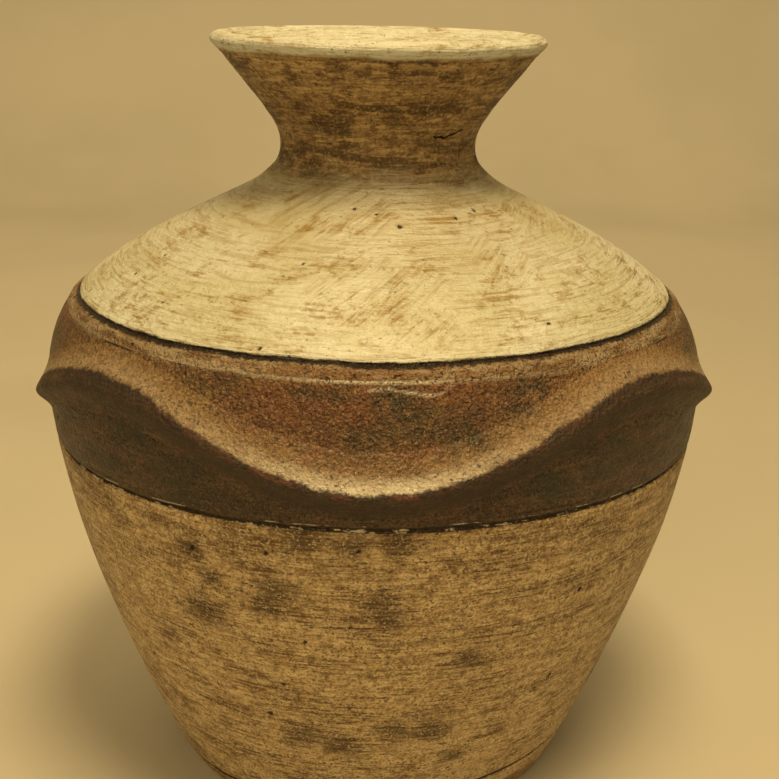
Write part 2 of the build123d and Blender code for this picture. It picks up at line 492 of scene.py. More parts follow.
def wall_piece(name, low, high, columns, spacing, inner_spacing):
    """A band of the clay wall: detailed outside, plainer inside, level joint faces."""
    columns = spaced(columns)
    angle = columns_angles(columns)
    outer_heights = rows_between(OUTSIDE, low, high, spacing / FINE)[:, None]
    radius = OUTSIDE(outer_heights) + 0 * angle
    relief, marks = wall_relief(angle, outer_heights, radius)
    slope = OUTSIDE.slope(outer_heights)
    out = relief / np.hypot(1, slope)
    joint_gap = np.minimum(outer_heights - low, high - outer_heights)
    up = -out * slope * step_between(0, 4, joint_gap)
    outer = np.stack([radius + out, outer_heights + up], -1)
    inner_heights = rows_between(INSIDE, low, high, inner_spacing)[::-1, None]
    inner_radius = INSIDE(inner_heights) + 0 * angle
    at = space(inner_radius, angle, inner_heights)
    inner_relief = 0.5 * fractal(at, 60, 41, 2) + 0.22 * fractal(at, (60, 60, 6), 45)
    inner = np.stack([inner_radius + inner_relief, inner_heights + 0 * angle], -1)
    sections = np.concatenate([outer, inner])
    full = with_hidden_rows(marks, len(inner), columns)
    return ring_piece(name, sections, columns, full, (len(outer) - 1, len(sections) - 1))


FINE = 1.0
FAR = 99.0  # a gap that is far from every line


def spaced(columns):
    return int(columns * FINE)


def build_walls():
    joints = [FOOT_TOP, LOWER_JOINT, COIL_JOINT, GROOVE_JOINT, NECK_LOW, NECK_HIGH, LIP_LOW]
    pieces = {}
    for (node, detail), low, high in zip(WALL_DETAIL.items(), joints, joints[1:]):
        pieces[node] = wall_piece(node + "_clay", low, high, *detail)
    return pieces


# --- the ridge, lip, foot and base ---

# The ridge's section: height in millimetres over its line at a peak, and how proud it stands
# as a share of its full height. Its nose hangs a little below the line.
RIDGE_SECTION = [(-17.5, -0.08), (-16.3, 0.0), (-14.8, 0.06), (-13.0, 0.16), (-11.2, 0.31),
                 (-9.6, 0.49), (-8.0, 0.68), (-6.6, 0.84), (-5.2, 0.95), (-3.8, 1.0), (-2.4, 0.99),
                 (-1.0, 0.92), (0.2, 0.82), (1.4, 0.66), (2.8, 0.46), (4.2, 0.28), (5.8, 0.12),
                 (7.2, 0.02), (8.2, -0.08)]
# At the two sides the nose hangs lower and the ramp over it is steeper.
SIDE_SECTION = [(-17.5, -0.08), (-15.8, 0.0), (-13.8, 0.17), (-12.0, 0.43), (-10.4, 0.7),
                (-8.8, 0.91), (-7.3, 1.0), (-5.8, 0.96), (-4.2, 0.83), (-2.6, 0.66), (-1.0, 0.5),
                (0.6, 0.36), (2.2, 0.25), (4.0, 0.14), (5.6, 0.06), (7.2, 0.02), (8.2, -0.08)]
RIDGE_SHAPE = SmoothLine(*zip(*RIDGE_SECTION))
SIDE_SHAPE = SmoothLine(*zip(*SIDE_SECTION))
TROUGH_SHRINK = 0.28
TROUGH_SPREAD = 1.75
RIDGE_ROOT = 4.0


def ridge_piece():
    """The wavy ridge: a long hollow ramp above its line, and a blunt nose hanging under it."""
    columns = spaced(1440)
    angle = columns_angles(columns)
    place = np.linspace(RIDGE_SECTION[0][0], RIDGE_SECTION[-1][0], int(60 * FINE))[:, None]
    trough = trough_share(angle)
    side = np.sin(angle) ** 4
    spread = 1 + (TROUGH_SPREAD - 1) * trough * (1 - side)
    shrink = 1 - TROUGH_SHRINK * trough * (1 - 0.6 * side)
    reach = np.where(place < 0, place * shrink, place * spread)
    belt = space(140, angle, 180)
    wander = 0.5 * noise(belt, 30, 51) + 0.2 * noise(belt, 8, 52)
    height = crest_height(angle) + wander + reach
    radius = OUTSIDE(height)
    relief, marks = wall_relief(angle, height, radius)
    at = space(radius, angle, height)
    share = (1 - side) * RIDGE_SHAPE(place) + side * SIDE_SHAPE(place)
    strength = RIDGE_PROUD * (1 + 0.06 * noise(belt, 34, 53))
    lumps = 0.2 * fractal(at, 7, 55) * step_between(0, 0.5, share)
    outer = np.stack([radius + relief + share * strength + lumps, height], -1)
    inner_height = height[:1] + (height[-1:] - height[:1]) * np.linspace(1, 0, 8)[:, None]
    inner = np.stack([OUTSIDE(inner_height) - RIDGE_ROOT, inner_height], -1)
    sections = np.concatenate([outer, inner])
    full = with_hidden_rows(marks, len(inner), columns)
    full["above"] = np.concatenate([reach, np.full((len(inner), columns), 9.0)])
    full["trough"] = np.broadcast_to(trough, sections.shape[:2])
    return ring_piece("wave_ridge_clay", sections, columns, full)


def lip_piece():
    """The rim: a full rounded lip that is thicker in some places than in others."""
    columns = spaced(900)
    angle = columns_angles(columns)
    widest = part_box("rim_lip")[1].x / MM
    low_radius = float(OUTSIDE(LIP_LOW))
    bore = float(INSIDE(LIP_LOW))
    corners = [(low_radius, LIP_LOW), (low_radius + 1.0, LIP_LOW + 1.1), (widest - 1.6, LIP_LOW + 3.1),
               (widest - 0.5, LIP_LOW + 5.2), (widest - 1.7, LIP_LOW + 7.1), (widest - 4.3, JAR_TOP - 0.9),
               (widest - 7.5, JAR_TOP - 1.4), (widest - 10.4, JAR_TOP - 3.2), (widest - 13.2, JAR_TOP - 5.8),
               (bore, LIP_LOW)]
    steps = [0.0]
    for (r0, z0), (r1, z1) in zip(corners, corners[1:]):
        steps.append(steps[-1] + math.hypot(r1 - r0, z1 - z0))
    across = SmoothLine(steps, [r for r, z in corners])
    up = SmoothLine(steps, [z for r, z in corners])
    along = np.linspace(0, steps[-1], int(66 * FINE))[:, None]
    radius = across(along) + 0 * angle
    height = up(along) + 0 * angle
    free = step_between(0, 3, along) * (1 - step_between(steps[-1] - 3, steps[-1], along))
    at = space(radius, angle, height)
    belt = space(70, angle, 0)
    wobble = 0.55 * noise(belt, 42, 61) + 0.28 * noise(belt, 13, 62) - 0.4
    sag = 0.5 * noise(belt, 55, 63) + 0.2 * noise(belt, 12, 64) - 0.4
    grain = 0.13 * fractal(at, 5, 65)
    radius = radius + free * (wobble + grain)
    height = height + free * (sag + grain)
    edge = LIP_LOW + 1.9 + 0.9 * noise(belt, 16, 66) + 0.5 * noise(belt, 4, 67)
    outside = along < steps[4]
    marks = {
        "umber": np.where(outside, 1 - step_between(-0.9, 0.9, height - edge), 0),
        "worn": hump(along, steps[3], 2.0) + 0 * angle,
    }
    return ring_piece("rim_lip_clay", np.stack([radius, height], -1), columns, marks, (len(along) - 1,))


def foot_piece():
    """The foot ring: a slanting outside that eases under at the floor."""
    columns = spaced(640)
    angle = columns_angles(columns)
    low, high = cast("foot_ring", 3, 300, -1), cast("foot_ring", 9, 300, -1)
    heights = np.concatenate([[0.0, 0.25, 0.7, 1.3], np.linspace(2, FOOT_TOP, int(16 * FINE))])[:, None]
    eased = 1.3 * (1 - np.clip(heights / 1.3, 0, 1)) ** 2
    radius = low + (high - low) * (heights - 3) / 6 - eased + 0 * angle
    relief, marks = wall_relief(angle, heights, radius)
    blend = step_between(0, FOOT_TOP, heights)
    radius = (1 - blend) * radius + blend * OUTSIDE(heights)
    outer = np.stack([radius + relief * step_between(0, 2.5, heights), heights + 0 * angle], -1)
    inner_heights = np.array([[FOOT_TOP], [FOOT_TOP / 2], [0.0]]) + 0 * angle
    inner = np.stack([np.full(inner_heights.shape, SLAB_RADIUS), inner_heights], -1)
    sections = np.concatenate([outer, inner])
    full = with_hidden_rows(marks, len(inner), columns)
    rows = len(sections)
    return ring_piece("foot_ring_clay", sections, columns, full, range(rows - 4, rows))


def slab_piece():
    """The base slab: flat underneath where it stands, with the potter's turning rings inside."""
    columns = spaced(360)
    angle = columns_angles(columns)
    rings = np.linspace(0, SLAB_RADIUS, int(60 * FINE))[1:, None]
    low, high = (value.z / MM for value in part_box("base_slab"))
    free = 1 - step_between(SLAB_RADIUS - 6, SLAB_RADIUS, rings)
    under = low + free * (0.7 + 0.35 * fractal(space(rings, angle, 0), 30, 71))
    turned = 0.27 * np.cos(rings / 2.4 + angle)
    top = high - free * (0.6 + turned + 0.3 * fractal(space(rings, angle, 9), 26, 74))
    layers = np.concatenate([np.stack([rings + 0 * angle, under], -1),
                             np.stack([rings + 0 * angle, top], -1)[::-1]])
    rows = layers.shape[0]
    points = space(layers[..., 0], np.broadcast_to(angle, layers.shape[:2]), layers[..., 1]).reshape(-1, 3)
    centres = np.array([[0, 0, float(under[0].mean())], [0, 0, float(top[0].mean())]])
    quads = ring_faces(rows, columns)[:(rows - 1) * columns]
    triangles = [quads[:, [0, 1, 2]], quads[:, [0, 2, 3]]]
    column = np.arange(columns)
    following = (column + 1) % columns
    bottom_centre, top_centre = rows * columns, rows * columns + 1
    last = (rows - 1) * columns
    triangles.append(np.stack([np.full(columns, bottom_centre), following, column], -1))
    triangles.append(np.stack([np.full(columns, top_centre), last + column, last + following], -1))
    points = np.concatenate([points, centres])
    return write_mesh("base_slab_clay", points, np.concatenate(triangles))


# --- paint ---

CREAM = (0.55, 0.56, 0.43)
PALE_CREAM = (0.65, 0.68, 0.61)
BRIGHT_CREAM = (0.6, 0.62, 0.54)
OCHRE = (0.29, 0.2, 0.062)
BROWN = (0.12, 0.064, 0.023)
TAN = (0.55, 0.395, 0.2)
PALE_TAN = (0.76, 0.61, 0.36)
UMBER = (0.3, 0.2, 0.095)
DARK_UMBER = (0.062, 0.034, 0.014)
BLACK_GREEN = (0.03, 0.03, 0.014)
TERRACOTTA = (0.18, 0.078, 0.03)
BRICK = (0.22, 0.075, 0.032)
DEEP_RED = (0.11, 0.036, 0.02)
GOLD = (0.225, 0.14, 0.055)
BAND_CREAM = (0.76, 0.72, 0.6)
BAND_DARK = (0.04, 0.022, 0.011)
BAND_MID = (0.09, 0.05, 0.024)
BAND_RED = (0.095, 0.034, 0.02)
BAND_WORN = (0.21, 0.145, 0.075)
GOLD_DUST = (0.4, 0.29, 0.15)
SLIVER = (0.66, 0.55, 0.42)
GRIME_AND_SHADE = (0.02, 0.011, 0.006)
BARE_CLAY = (0.3, 0.19, 0.11)


class Paint:
    """A procedural finish built up in layers over the clay."""

    def __init__(self, name):
        self.material = bpy.data.materials.new(name)
        self.material.use_nodes = True
        self.tree = self.material.node_tree
        self.shader = self.tree.nodes["Principled BSDF"]
        self.place = self.tree.nodes.new("ShaderNodeTexCoord").outputs["Object"]
        self.bumps = []

    def put(self, socket, value):
        if isinstance(value, bpy.types.NodeSocket):
            self.tree.links.new(value, socket)
        elif socket.type == "RGBA":
            socket.default_value = (*value, 1)
        else:
            socket.default_value = value

    def node(self, kind, inputs, output=0, **settings):
        """One output of a new node, whose inputs are values or other nodes' outputs."""
        made = self.tree.nodes.new(kind)
        for key, value in settings.items():
            setattr(made, key, value)
        for key, value in inputs.items():
            self.put(made.inputs[key], value)
        return made.outputs[output]

    def noise(self, size, detail=4, rough=0.6, turn=(0, 0, 0), seed=0.0, warp=0.0):
        """Noise from 0 to 1 whose features have this size in millimetres, one number or three."""
        sizes = (size,) * 3 if isinstance(size, (int, float)) else size
        place = {
            "Vector": self.place,
            "Location": (seed, seed * 1.7, -seed * 0.6),
            "Rotation": [math.radians(part) for part in turn],
            "Scale": [part * MM for part in sizes],
        }
        place = self.node("ShaderNodeMapping", place, vector_type="TEXTURE")
        inputs = {"Vector": place, "Scale": 1, "Detail": detail, "Roughness": rough, "Distortion": warp}
        return self.node("ShaderNodeTexNoise", inputs, "Fac", noise_dimensions="3D")

    def edge(self, value, low, high):
        """0 where the value is under low, 1 over high."""
        inputs = {"Value": value, "From Min": low, "From Max": high}
        return self.node("ShaderNodeMapRange", inputs, interpolation_type="SMOOTHSTEP")

    def scale(self, value, low, high):
        """The value from 0 to 1 turned into low to high."""
        return self.node("ShaderNodeMapRange", {"Value": value, "To Min": low, "To Max": high})

    def patch(self, size, detail, rough, seed, low, high):
        """Noise turned into patches: 0 where it is under low, 1 over high."""
        return self.edge(self.noise(size, detail, rough, seed=seed), low, high)

    def roughness(self, size, seed, low, high):
        """A roughness that drifts between two values."""
        return self.scale(self.noise(size, 3, 0.6, seed=seed), low, high)

    def sum(self, kind, first, second, clamp=False):
        return self.node("ShaderNodeMath", {0: first, 1: second}, operation=kind, use_clamp=clamp)

    def times(self, first, second):
        return self.sum("MULTIPLY", first, second, True)

    def mask(self, name):
        """A paint mask stored on the mesh."""
        return self.node("ShaderNodeAttribute", {}, "Fac", attribute_name=name)

    def ragged(self, name, noise, reach, low, high):
        """A stored mask whose edge the noise moves in and out by the reach."""
        moved = self.sum("ADD", self.mask(name), self.scale(noise, -reach, reach))
        return self.edge(moved, low, high)

    def height(self):
        """Height above the floor in millimetres."""
        upward = self.node("ShaderNodeSeparateXYZ", {0: self.place}, "Z")
        return self.sum("MULTIPLY", upward, 1 / MM)

    def near(self, value, middle, reach):
        """1 where the value is at the middle, fading to 0 at the reach."""
        away = self.sum("SUBTRACT", value, middle)
        away = self.node("ShaderNodeMath", {0: away}, operation="ABSOLUTE")
        return self.edge(away, reach, reach * 0.45)

    def layers(self, colour, *coats):
        """Coats over a colour: each a colour, its amount, and any shares that scale the amount."""
        for coat, amount, *shares in coats:
            for share in shares:
                amount = self.times(amount, share)
            mix = {0: amount, 6: colour, 7: coat}
            colour = self.node("ShaderNodeMix", mix, 2, data_type="RGBA", clamp_factor=True)
        return colour

    def bump(self, value, depth):
        self.bumps.append((value, depth))

    def finish(self, colour, rough, gloss):
        """The finished material, with its bumps laid one over another."""
        normal = {}
        for value, depth in self.bumps:
            bump = {"Strength": 1, "Distance": depth * MM, "Height": value, **normal}
            normal = {"Normal": self.node("ShaderNodeBump", bump)}
        finish = {"Base Color": colour, "Roughness": rough, "Specular IOR Level": gloss, **normal}
        for key, value in finish.items():
            self.put(self.shader.inputs[key], value)
        return self.material


def grit(paint, colour, amount=1.0, rarer=0.0):
    """Fine black and brown specks, thicker in drifts."""
    drifts = paint.patch(22, 3, 0.6, 3.1, 0.44, 0.58)
    fine = paint.patch(1.3, 1, 0.5, 4.7, 0.6 + rarer, 0.68 + rarer)
    sparse = paint.patch(2.6, 1, 0.5, 5.9, 0.72 + rarer, 0.75 + rarer)
    fine = paint.times(fine, paint.scale(drifts, 0.25, 0.95))
    return paint.layers(colour, (GRIME_AND_SHADE, paint.sum("ADD", fine, sparse, True), 0.9 * amount))


def grain(paint, colour, light, dark, amount, size=1.25):
    """The sandy grain of the clay, light and dark by turns."""
    sand = paint.noise(size, 1.5, 0.6, seed=6.1)
    return paint.layers(
        colour,
        (dark, paint.edge(sand, 0.5, 0.3), amount),
        (light, paint.edge(sand, 0.52, 0.72), amount),
        (dark, paint.patch(3.4, 2, 0.6, 6.9, 0.48, 0.3), amount * 0.9))


def dirty(paint, colour):
    """Dark colour lying in the grooves, pits and crack."""
    torn = paint.roughness(1.6, 7.3, 0.0, 2.0)
    lying = paint.edge(paint.times(paint.mask("grime"), torn), 0.22, 0.55)
    return paint.layers(colour, (GRIME_AND_SHADE, lying, 0.96))


def deep_line(paint, colour, gap, reach):
    """The torn dark line down an incised groove."""
    torn = paint.scale(paint.noise((2.2, 2.2, 1.3), 3, 0.75, seed=7.9), -2.0, 2.0)
    return paint.layers(colour, (GRIME_AND_SHADE, paint.near(paint.mask(gap), torn, reach), 0.97))


def slivers(paint, colour):
    """Pale slivers where the wash has flaked off the edges of the lower line."""
    torn = paint.scale(paint.noise((5, 5, 2), 3, 0.7, seed=27.0), -2.2, 1.0)
    line = paint.near(paint.mask("line_gap"), torn, 0.55)
    where = paint.patch((8, 8, 3), 3, 0.65, 28.0, 0.52, 0.6)
    second = paint.near(paint.mask("line_gap"), 1.6, 0.35)
    along = paint.patch((12, 12, 5), 3, 0.65, 29.0, 0.54, 0.6)
    return paint.layers(
        colour,
        (BAND_CREAM, second, along, 0.55),
        (SLIVER, line, where, paint.scale(paint.mask("front"), 0.3, 1.0), 0.95))


def bare_inside(paint, colour):
    """Unpainted clay on faces away from the outside."""
    tone = paint.patch((40, 40, 5), 4, 0.6, 8.2, 0.4, 0.6)
    clay = paint.layers(BARE_CLAY, (BROWN, paint.scale(tone, 0.05, 0.5)))
    return paint.layers(colour, (clay, paint.mask("inside")))


def cream_layers(paint, pale=PALE_CREAM, cream=CREAM):
    """Cream slip with ochre rubbed into slanting and level brush strokes."""
    level = paint.noise((17, 17, 0.9), 2.5, 0.6, seed=0.3, warp=0.4)
    slant = paint.noise((1.3, 26, 20), 2.5, 0.6, turn=(0, 64, 16), seed=0.9, warp=0.4)
    choose = paint.patch(58, 2, 0.5, 1.4, 0.52, 0.6)
    strokes = paint.node("ShaderNodeMix", {0: choose, 2: level, 3: slant}, data_type="FLOAT")
    patch = paint.patch((20, 20, 7), 5, 0.7, 2.2, 0.49, 0.62)
    cloud = paint.patch((60, 60, 22), 3, 0.55, 2.9, 0.4, 0.6)
    mottle = paint.patch((3.4, 3.4, 1.8), 2.5, 0.65, 3.7, 0.48, 0.62)
    fleck = paint.patch((2.2, 2.2, 1.1), 2, 0.6, 6.4, 0.6, 0.72)
    above = paint.edge(paint.height(), 222, 256)
    below = paint.edge(paint.height(), NECK_HIGH + 14, NECK_HIGH)
    paint.bump(strokes, 0.75)
    paint.bump(paint.noise(1.3, 2, 0.6, seed=9.0), 0.3)
    return paint.layers(
        pale,
        (cream, paint.scale(cloud, 0.15, 1.0)),
        (OCHRE, paint.edge(strokes, 0.48, 0.62), paint.scale(patch, 0.34, 0.88)),
        (OCHRE, mottle, paint.scale(patch, 0.16, 0.66)),
        (OCHRE, patch, 0.18),
        (OCHRE, above, below, paint.scale(strokes, 0.0, 0.62)),
        (BROWN, fleck, paint.scale(patch, 0.06, 0.8)))


def umber_layers(paint):
    """Dark wash brushed round over buff clay, worn through in level streaks."""
    streaks = paint.noise((20, 20, 1.3), 3, 0.62, seed=11.0, warp=0.5)
    mottle = paint.noise((5, 5, 2.6), 4, 0.68, seed=13.0)
    smear = paint.noise((11, 11, 1.7), 3, 0.68, seed=13.6, warp=0.3)
    paint.bump(streaks, 0.6)
    paint.bump(mottle, 0.9)
    colour = paint.layers(
        UMBER,
        (TAN, paint.edge(streaks, 0.48, 0.62), 0.65),
        (BROWN, paint.edge(mottle, 0.47, 0.6), 0.75),
        (DARK_UMBER, paint.patch((34, 34, 5), 5, 0.68, 12.0, 0.5, 0.6), 0.8),
        (DARK_UMBER, paint.ragged("stain", smear, 1.2, 0.22, 0.68), 0.7))
    return grain(paint, colour, TAN, DARK_UMBER, 0.42)


def shoulder_layers(paint):
    """Cream on the shoulder giving way to umber at the neck along a ragged level, with specks."""
    wander = paint.scale(paint.noise((20, 20, 6), 5, 0.72, seed=14.0), -14, 14)
    fade = paint.edge(paint.sum("ADD", paint.height(), wander), NECK_LOW - 7, NECK_LOW + 9)
    cream = cream_layers(paint)
    colour = paint.layers(cream, (umber_layers(paint), fade, 0.97))
    return grit(paint, colour, 0.6, 0.06)


def shoulder_paint():
    paint = Paint("shoulder_cream_slip")
    colour = deep_line(paint, shoulder_layers(paint), "groove_gap", 1.0)
    colour = bare_inside(paint, dirty(paint, colour))
    return paint.finish(colour, paint.roughness(18, 15.0, 0.22, 0.56), 0.6)


def neck_paint():
    paint = Paint("neck_umber_wash")
    colour = bare_inside(paint, dirty(paint, shoulder_layers(paint)))
    return paint.finish(colour, paint.roughness(6, 17.0, 0.5, 0.8), 0.3)


def flare_paint():
    """Umber outside, worn under the lip, and cream slip inside."""
    paint = Paint("flare_umber_wash")
    fringe = paint.edge(paint.height(), LIP_LOW - 5, LIP_LOW)
    worn = paint.patch((8, 8, 3), 3, 0.6, 18.0, 0.42, 0.6)
    colour = paint.layers(umber_layers(paint), (TAN, fringe, worn, 0.6))
    colour = bare_inside(paint, dirty(paint, grit(paint, colour, 0.8)))
    high = paint.edge(paint.height(), NECK_HIGH + 2, LIP_LOW - 6)
    colour = paint.layers(colour, (PALE_CREAM, paint.mask("inside"), high, 0.85))
    return paint.finish(colour, paint.roughness(6, 17.0, 0.5, 0.8), 0.3)


def rim_paint():
    """Cream slip, brighter where the lip is worn, over an umber underside."""
    paint = Paint("rim_cream_slip")
    colour = cream_layers(paint, BRIGHT_CREAM, PALE_CREAM)
    colour = paint.layers(colour, (BRIGHT_CREAM, paint.mask("worn"), 0.35))
    colour = grit(paint, colour, 0.9, 0.05)
    colour = paint.layers(colour, (umber_layers(paint), paint.mask("umber")))
    return paint.finish(colour, paint.roughness(14, 16.0, 0.42, 0.7), 0.4)


def body_paint():
    """Tan wash in fine level strokes, with brown blotches and black nicks, lightened towards the floor as
    painted light.
    """
    paint = Paint("tan_wash_over_clay")
    strokes = paint.noise((17, 17, 1.0), 3, 0.62, seed=21.0, warp=0.6)
    broad = paint.noise((26, 26, 10), 5, 0.7, seed=22.0)
    mottle = paint.noise((5.5, 5.5, 2.8), 4, 0.68, seed=23.0)
    scratches = paint.noise((0.9, 9, 9), 2, 0.5, turn=(0, 35, 0), seed=23.6)
    lines = paint.edge(strokes, 0.47, 0.61)
    dense = paint.edge(broad, 0.47, 0.59)
    low = paint.edge(paint.height(), 95, 15)
    high = paint.edge(paint.height(), 122, LOWER_JOINT)
    colour = paint.layers(
        TAN,
        (PALE_TAN, paint.edge(mottle, 0.46, 0.6), 0.85),
        (BROWN, lines, paint.scale(dense, 0.45, 0.95)),
        (BROWN, paint.edge(mottle, 0.48, 0.34), paint.scale(dense, 0.2, 0.6)),
        (BROWN, dense, 0.22),
        (PALE_TAN, paint.edge(scratches, 0.62, 0.74), 0.35),
        # Painted light: the lower body is lightened towards the floor.
        (PALE_TAN, low, 0.3, paint.edge(broad, 0.56, 0.4)),
        (BROWN, high, paint.edge(broad, 0.38, 0.56), 0.4),
        (DARK_UMBER, paint.ragged("stain", mottle, 1.3, 0.28, 0.5), paint.scale(lines, 0.5, 0.85)),
        (DARK_UMBER, paint.ragged("stain", strokes, 0.35, 0.58, 0.92), 0.5),
        (GRIME_AND_SHADE, paint.patch((4.2, 4.2, 1.3), 1, 0.5, 24.0, 0.735, 0.76), 0.9))
    colour = grain(paint, grit(paint, colour, 0.85), PALE_TAN, BROWN, 0.62, 0.95)
    colour = deep_line(paint, dirty(paint, colour), "line_gap", 0.62)
    colour = bare_inside(paint, slivers(paint, colour))
    paint.bump(strokes, 1.0)
    paint.bump(mottle, 0.9)
    paint.bump(paint.noise(1.3, 1, 0.5, seed=25.0), 0.8)
    return paint.finish(colour, paint.roughness(12, 26.0, 0.42, 0.72), 0.38)


def under_ridge(paint):
    """The band's colour under the ridge: dark umber with black, green and reddish drifts."""
    patch = paint.noise((15, 15, 8), 5, 0.72, seed=31.0)
    colour = paint.layers(
        BAND_MID,
        (BAND_DARK, paint.edge(patch, 0.42, 0.56), 0.85),
        (BAND_RED, paint.patch(10, 4, 0.7, 34.0, 0.5, 0.6), 0.6),
        (BLACK_GREEN, paint.edge(patch, 0.54, 0.62), 0.5),
        (BAND_WORN, paint.patch((14, 14, 1.4), 3, 0.6, 33.0, 0.54, 0.68), 0.35))
    return grain(paint, colour, BAND_WORN, GRIME_AND_SHADE, 0.5, 0.95)


def over_ridge(paint):
    """The band's colour over the ridge, terracotta with patches and gold, partly painted light near the line
    and painted shade in the hollow, and its fine tone.
    """
    drift = paint.noise(4.4, 4, 0.72, seed=54.0)
    tone = paint.edge(drift, 0.38, 0.62)
    blot = paint.edge(drift, 0.4, 0.54)
    # Gold within 11 mm over the line: partly gold wash, partly painted light on the ramp that faces up.
    close = paint.edge(paint.mask("above"), 11.0, 0.0)
    colour = paint.layers(
        TERRACOTTA,
        (GOLD, paint.patch((22, 22, 10), 5, 0.68, 41.0, 0.46, 0.6), 0.6),
        (BRICK, paint.patch(9, 4, 0.7, 43.0, 0.51, 0.62), 0.45),
        (GOLD, paint.mask("gold"), paint.scale(tone, 0.9, 0.45)),
        (BRICK, paint.mask("orange"), paint.scale(tone, 0.3, 0.75)),
        (BLACK_GREEN, paint.mask("green"), paint.scale(blot, 0.3, 0.95)),
        # Painted shade: dark umber in the hollow over the ridge, from the shade mask.
        (DARK_UMBER, paint.mask("shade"), paint.scale(tone, 0.5, 0.95)),
        (GOLD, close, paint.scale(tone, 0.95, 0.55)))
    return grain(paint, colour, GOLD_DUST, GRIME_AND_SHADE, 0.42, 0.95), tone


def band_bumps(paint, share=1.0):
    paint.bump(paint.noise(2.8, 3, 0.7, seed=51.0), 3.0 * share)
    paint.bump(paint.noise(1.2, 1, 0.5, seed=52.0), 1.2 * share)


def ragged_side(paint, low, high):
    """0 under the ridge's line and 1 over it, along a torn edge."""
    torn = paint.scale(paint.noise(1.7, 2.5, 0.7, seed=53.0), -1.3, 1.3)
    wander = paint.scale(paint.noise(9, 2, 0.6, seed=53.8), -1.6, 1.6)
    moved = paint.sum("ADD", paint.mask("above"), paint.sum("ADD", torn, wander))
    return paint.edge(moved, low, high)


def band_paint():
    """Dark under the ridge and terracotta over it, with stains, a peeled edge, painted shade in the hollow
    over the ridge and a painted highlight along the coil.
    """
    paint = Paint("dark_band_wash")
    upper, tone = over_ridge(paint)
    colour = paint.layers(
        under_ridge(paint),
        (upper, ragged_side(paint, -0.8, 0.7)),
        (BLACK_GREEN, paint.mask("stain"), paint.scale(tone, 0.3, 0.9)),
        # The pale mask is a painted highlight along the coil.
        (BAND_CREAM, paint.mask("pale"), 0.9),
        (BAND_CREAM, paint.mask("peel"), paint.scale(tone, 0.3, 1.0)))
    colour = deep_line(paint, dirty(paint, grit(paint, colour)), "line_gap", 0.62)
    colour = bare_inside(paint, slivers(paint, colour))
    band_bumps(paint)
    return paint.finish(colour, paint.roughness(7, 55.0, 0.28, 0.62), 0.45)


def ridge_paint():
    """Gold along the ridge's upper side, with cream along its line as a painted highlight, strongest at the
    troughs; dark wash from its line down, with painted shade on the nose.
    """
    paint = Paint("ridge_cream_and_painted_highlight")
    above, trough = paint.mask("above"), paint.mask("trough")
    # How much of the painted highlight each place gets: most at the troughs.
    middle = paint.times(trough, trough)
    middle = paint.scale(paint.times(middle, middle), 0.14, 1.0)
    upper, tone = over_ridge(paint)
    # Painted highlight: cream along the ridge's line, where its upper side faces the light.
    rub_and_highlight = paint.edge(above, 7.0, 0.6)
    upper = paint.layers(upper, (BAND_CREAM, rub_and_highlight, paint.scale(tone, 1.0, 0.6), middle))
    nose = paint.near(above, -4.0, 11.0)
    edge = paint.near(above, -1.2, 1.6)
    colour = paint.layers(
        under_ridge(paint),
        # Painted shade: the nose is darkened, partly its own dark wash and partly shade under the ridge,
        # most at the front.
        (GRIME_AND_SHADE, nose, paint.scale(paint.mask("front"), 0.3, 0.62)),
        (GRIME_AND_SHADE, edge, 0.6),
        (DEEP_RED, edge, paint.patch((11, 11, 6), 3, 0.7, 64.0, 0.44, 0.58), 0.8),
        (GRIME_AND_SHADE, edge, paint.sum("SUBTRACT", 1.0, trough), 0.8),
        (upper, ragged_side(paint, -0.9, 0.8)))
    band_bumps(paint, 0.55)
    shine = paint.times(paint.times(trough, paint.edge(above, -1.0, 1.0)), 0.32)
    rough = paint.sum("SUBTRACT", paint.roughness(6, 63.0, 0.48, 0.8), shine)
    return paint.finish(grit(paint, colour, 0.8), rough, 0.5)


def bead_paint():
    """Gold and cream rubbed along the bead, over the band's terracotta, with a painted highlight along the
    coil line.
    """
    paint = Paint("bead_gold_rubbed")
    rub_and_highlight = paint.patch((22, 22, 3), 4, 0.65, 71.0, 0.42, 0.58)
    colour = paint.layers(
        over_ridge(paint)[0],
        (GOLD, paint.scale(rub_and_highlight, 0.3, 0.8)),
        (BAND_CREAM, rub_and_highlight, 0.2),
        # The pale mask is a painted highlight along the coil line.
        (BAND_CREAM, paint.mask("pale"), 0.95))
    colour = deep_line(paint, grit(paint, colour), "groove_gap", 1.0)
    colour = bare_inside(paint, dirty(paint, colour))
    band_bumps(paint)
    return paint.finish(colour, paint.roughness(6, 72.0, 0.3, 0.58), 0.4)


def clay_paint(name, wash):
    """Plain fired clay, with a thin brown wash where the outside shows."""
    paint = Paint(name)
    turned = paint.noise((24, 24, 1.4), 3, 0.62, seed=81.0)
    mottle = paint.noise(7, 4, 0.68, seed=82.0)
    colour = paint.layers(
        BARE_CLAY,
        (wash, paint.scale(paint.edge(turned, 0.44, 0.6), 0.25, 0.9)),
        (BROWN, paint.edge(mottle, 0.47, 0.6), 0.6))
    colour = dirty(paint, grain(paint, grit(paint, colour, 0.8), PALE_TAN, BROWN, 0.3))
    paint.bump(turned, 0.5)
    paint.bump(mottle, 0.5)
    return paint.finish(colour, paint.scale(mottle, 0.66, 0.9), 0.3)


# --- put the jar together ---

def dress(piece, node, material):
    """The piece stands for its CAD node and takes its finish."""
    piece.data.materials.clear()
    piece.data.materials.append(material)
    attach(piece, "root")
    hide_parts(node)


